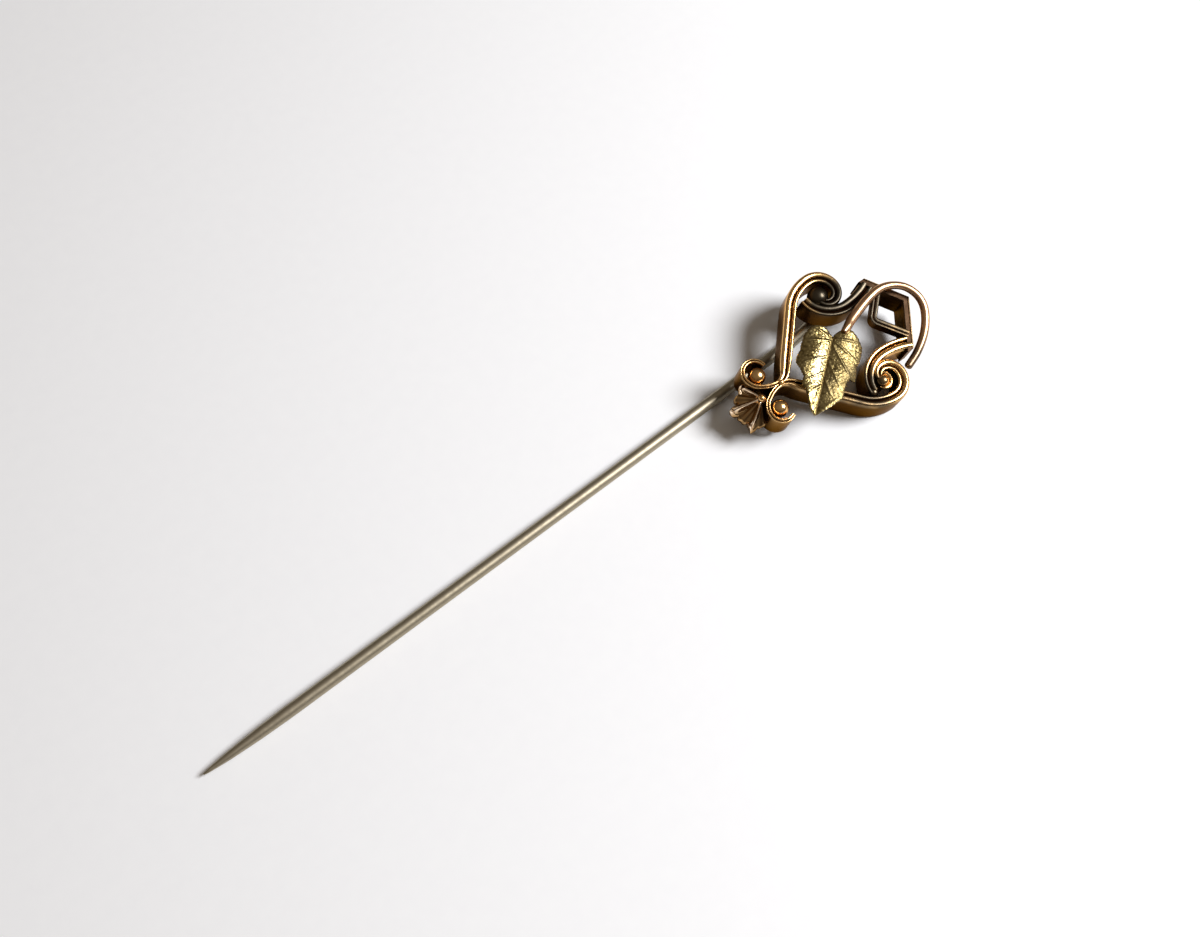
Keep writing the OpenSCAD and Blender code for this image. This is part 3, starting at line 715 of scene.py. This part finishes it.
# Punch marks: how much coarser their noise is, how strong it is, and the distances from a cell's point at
# which a pit starts and is full. leafLook has their scale, their depth in mm and how strongly they colour.
punchMarks = {"noiseScale": 0.55, "noise": 0.8, "domePower": 1.5, "pitStarts": 0.35, "pitFull": 0.75}
leafLook = dict(scrollLook, clean=(0.53, 0.41, 0.17), warm=(0.3, 0.22, 0.08), paintedHighlightColour=(1.0, 0.9, 0.62),
                dull=(0.2, 0.15, 0.07), paintedShadeColour=(0.2, 0.14, 0.05), edge=(1, 1, 1), tarnish=0.1, polish=0.22,
                matt=0.42, patchScale=500.0, bump=0.01, punchScale=5600.0, punchDepth=0.035, pits=0.95,
                pitColour=(0.13, 0.09, 0.03))


def leafHeight(t):
    # A crease along the main vein and a rounded crest along each half: a parabola about the crest's line
    crest = leaf["crest"] * leaf["length"]
    return leaf["fold"] * (1 - leaf["foldShare"] * (np.abs(t) / crest - 1) ** 2)


def leafVeins(s, t):
    # Side veins: a bell about the distance to each vein's slightly bowed line, fading in and out along it
    total = np.zeros_like(s)
    for share, angle, length in leaf["veins"]:
        a, ds = math.radians(angle), s - share * leaf["length"]
        along = ds * math.cos(a) + t * math.sin(a)
        off = -ds * math.sin(a) + t * math.cos(a) - 0.03 * along ** 2 * math.copysign(1, angle)
        held = np.clip(along / 0.2, 0, 1) * np.clip((length - along) / 0.8, 0, 1)
        total = np.maximum(total, held * np.exp(-(off / leaf["veinWidth"]) ** 2))
    return total


def makeLeaf():
    # Polar grid about a point on the main vein: the reach at each angle is the outline's, with fine teeth.
    # The height is the folded sheet's, plus veins and a grain of crossed sines, and the edge is rounded.
    angle = np.linspace(0, 360, leaf["angles"], endpoint=False)
    at, share = np.array(leaf["outline"]).T
    teeth = leaf["toothDepth"] * np.abs(np.sin(np.radians(angle) * leaf["teeth"])) - 0.004
    reach = np.interp(angle, at, share, period=360) + teeth
    out = np.linspace(0.004, 1, leaf["rings"])[:, None] ** 0.85
    r = out * reach * leaf["length"]
    s = leaf["centre"] * leaf["length"] + r * np.cos(np.radians(angle))
    t = r * np.sin(np.radians(angle))
    side, main = leafVeins(s, t), np.exp(-((t + 0.08) / 0.07) ** 2)
    grain = leaf["grain"] * np.sin(s * 41 + 3 * np.sin(t * 17)) * np.sin(t * 37 + 2 * np.sin(s * 13 + 1))
    edge = np.clip((out - 0.93) / 0.07, 0, 1) ** 2
    sheet = leafHeight(t) + leaf["sway"] * np.sin(s * 1.9 + t * 2.3) * out
    sheet = sheet + headSize["depth"] + leaf["lift"]
    half = leaf["thickness"] / 2 * (1 - 0.5 * edge)
    relief = leaf["vein"] * side + leaf["mainVein"] * main * np.clip(s / 0.4, 0, 1) + grain * (1 - edge)
    low, rise = headSize["voluteTop"], headSize["peak"] - headSize["voluteTop"]
    baseX, baseY = leaf["base"][0] * headSize["halfWidth"], low + leaf["base"][1] * rise
    h = math.radians(leaf["heading"])
    x = baseX + s * math.cos(h) - t * math.sin(h)
    y = baseY + s * math.sin(h) + t * math.cos(h)
    # The rings run out over the face and back in under it
    rings = np.concatenate([np.stack([x, y, sheet + half + relief], -1),
                            np.stack([x, y, sheet - half], -1)[::-1]])
    wornS, wornT, reachS, reachT, amount = leaf["worn"]
    worn = amount * np.exp(-((t - wornT) / reachT) ** 2 - ((s - wornS) / reachS) ** 2)
    # Painted shade on the left of the vein and far to its right, and a painted highlight where it is worn
    paintedShadeAndHighlight = 0.5 * np.clip((t + 0.2) / 0.5, 0, 1) + 0.5 * np.clip((-1 - t) / 0.5, 0, 1) - 0.8 * worn
    # Painted shade in the crease along the vein, and under the leaf
    crease = np.exp(-((t - 0.05) / 0.09) ** 2) * np.clip(s / 0.5, 0, 1)
    # Masks over the face, then the value under it and at the two ends
    under, plain = np.ones_like(s), 1 - np.maximum(np.maximum(side, main), worn)
    masks = {"recess": np.append(np.concatenate([0.8 * crease, 0.5 * under]), [0, 0]),
             "tarnish": np.append(np.concatenate([paintedShadeAndHighlight, 0 * under]), [0, 0]),
             "matt": np.append(np.concatenate([plain, under]), [1, 1])}
    return [(*closedSkin(rings), masks)]


def punchGroup():
    # Tiny round punch marks: a dome in each cell of a Voronoi pattern, with noise over it, and their pits
    group, given, put = newGroup("punch", [("Vector", None), ("Scale", 9000.0)], ["Height", "Pits"])
    cells = addNode(group, "ShaderNodeTexVoronoi", [("Vector", given["Vector"]), ("Scale", given["Scale"]),
                                                    ("Randomness", 1.0)], feature="SMOOTH_F1")
    noiseScale = mathNode(group, "MULTIPLY", given["Scale"], punchMarks["noiseScale"])
    noise = addNode(group, "ShaderNodeTexNoise",
                    [("Vector", given["Vector"]), ("Scale", noiseScale), ("Detail", 2.0)])
    away = cells.outputs["Distance"]
    dome = mathNode(group, "SUBTRACT", 1.0, mathNode(group, "POWER", away, punchMarks["domePower"]))
    rough = mathNode(group, "MULTIPLY", noise.outputs["Fac"], punchMarks["noise"])
    group.links.new(mathNode(group, "ADD", dome, rough), put["Height"])
    pits = addNode(group, "ShaderNodeMapRange", [("Value", away), ("From Min", punchMarks["pitStarts"]),
                                                 ("From Max", punchMarks["pitFull"])])
    group.links.new(pits.outputs["Result"], put["Pits"])
    return group


def leafMaterial():
    # The gold of the leaf, with punch marks over it wherever its matt mask is up
    material, place, normal = goldMaterial("leafGold", leafLook)
    tree = material.node_tree
    shader = tree.nodes["Principled BSDF"].inputs
    punch = addNode(tree, "ShaderNodeGroup", node_tree=punchGroup())
    tree.links.new(place, punch.inputs["Vector"])
    punch.inputs["Scale"].default_value = leafLook["punchScale"]
    matt = maskValue(tree, "matt")
    height = mathNode(tree, "MULTIPLY", punch.outputs["Height"], matt)
    punched = addNode(tree, "ShaderNodeBump", [("Height", height), ("Strength", 1.0), ("Normal", normal),
                                               ("Distance", leafLook["punchDepth"] * mm)])
    tree.links.new(punched.outputs["Normal"], shader["Normal"])
    plain = shader["Base Color"].links[0].from_socket
    shade = mathNode(tree, "MULTIPLY", punch.outputs["Pits"], matt)
    shade = mathNode(tree, "MULTIPLY", shade, leafLook["pits"])
    tree.links.new(mixColour(tree, shade, plain, leafLook["pitColour"]), shader["Base Color"])
    return material


makePiece("vineLeaf", makeLeaf(), "leaf", leafMaterial(), sharpAngle=60, extraMasks=("matt",))
print("leaf made")

# Floor, light and camera, in metres. keyDirection points from the key light's target to the light, and
# skyRise is how far up the sky starts to brighten and is bright.
studio = {"floor": 5.0, "card": ((0.9, 0.9, 0.905), (0.93, 0.93, 0.93)), "fibreScale": 900.0,
          "cardRoughness": 0.8, "keyTarget": (0.02, 0.0, 0.002), "skyRise": (0.05, 0.8),
          "keyDirection": (0.53, -0.42, 0.735), "keyDistance": 0.29, "keySize": 0.145, "keyPower": 1.2,
          "keyColour": (0.985, 1.0, 1.035), "sky": (0.21, 0.18, 0.148), "horizon": (0.036, 0.022, 0.012),
          "eye": (-0.02542, -0.03121, 0.09045), "lookAt": (0.00381, 0.00442, 0.0), "lens": 42.0,
          "sensor": 36.0}


def makeFloor():
    half = studio["floor"] / 2
    mesh = bpy.data.meshes.new("floor")
    corners = [(-half, -half, 0), (half, -half, 0), (half, half, 0), (-half, half, 0)]
    mesh.from_pydata(corners, [], [(0, 1, 2, 3)])
    material = bpy.data.materials.new("paleCard")
    material.use_nodes = True
    tree = material.node_tree
    shader = tree.nodes["Principled BSDF"].inputs
    place = addNode(tree, "ShaderNodeTexCoord").outputs["Object"]
    fibre = addNode(tree, "ShaderNodeTexNoise", [("Vector", place), ("Detail", 3.0),
                                                  ("Scale", studio["fibreScale"])])
    tree.links.new(mixColour(tree, fibre.outputs["Fac"], *studio["card"]), shader["Base Color"])
    shader["Roughness"].default_value = studio["cardRoughness"]
    shader["Specular IOR Level"].default_value = 0.2
    mesh.materials.append(material)
    floor = bpy.data.objects.new("floor", mesh)
    bpy.context.scene.collection.objects.link(floor)


def aim(thing, target):
    # Turns a lamp or a camera, which look down their own -z, towards the target
    thing.rotation_euler = (thing.location - target).to_track_quat("Z", "Y").to_euler()
    bpy.context.scene.collection.objects.link(thing)


def makeKeyLight():
    light = bpy.data.lights.new("window", "AREA")
    light.shape, light.size = "DISK", studio["keySize"]
    light.energy, light.color = studio["keyPower"], studio["keyColour"]
    lamp = bpy.data.objects.new("window", light)
    target = Vector(studio["keyTarget"])
    lamp.location = target + Vector(studio["keyDirection"]).normalized() * studio["keyDistance"]
    aim(lamp, target)


def makeWorld():
    # The sky is dark at the horizon and brightens smoothly with height
    world = bpy.data.worlds.new("studioWorld")
    bpy.context.scene.world = world
    world.use_nodes = True
    tree = world.node_tree
    way = addNode(tree, "ShaderNodeTexCoord").outputs["Generated"]
    height = addNode(tree, "ShaderNodeSeparateXYZ", [(0, way)]).outputs["Z"]
    low, high = studio["skyRise"]
    rise = addNode(tree, "ShaderNodeMapRange", [("Value", height), ("From Min", low), ("From Max", high)],
                   interpolation_type="SMOOTHSTEP")
    background = tree.nodes["Background"].inputs
    colour = mixColour(tree, rise.outputs["Result"], studio["horizon"], studio["sky"])
    tree.links.new(colour, background["Color"])
    background["Strength"].default_value = 1.0


def makeCamera():
    camera = bpy.data.cameras.new("camera")
    camera.lens, camera.sensor_width, camera.sensor_fit = studio["lens"], studio["sensor"], "HORIZONTAL"
    camera.clip_start, camera.clip_end = 0.005, 5.0
    eye = bpy.data.objects.new("camera", camera)
    eye.location = studio["eye"]
    aim(eye, Vector(studio["lookAt"]))
    bpy.context.scene.camera = eye


makeFloor()
makeKeyLight()
makeWorld()
makeCamera()
bpy.context.scene.view_settings.view_transform = "Standard"
print("studio made")
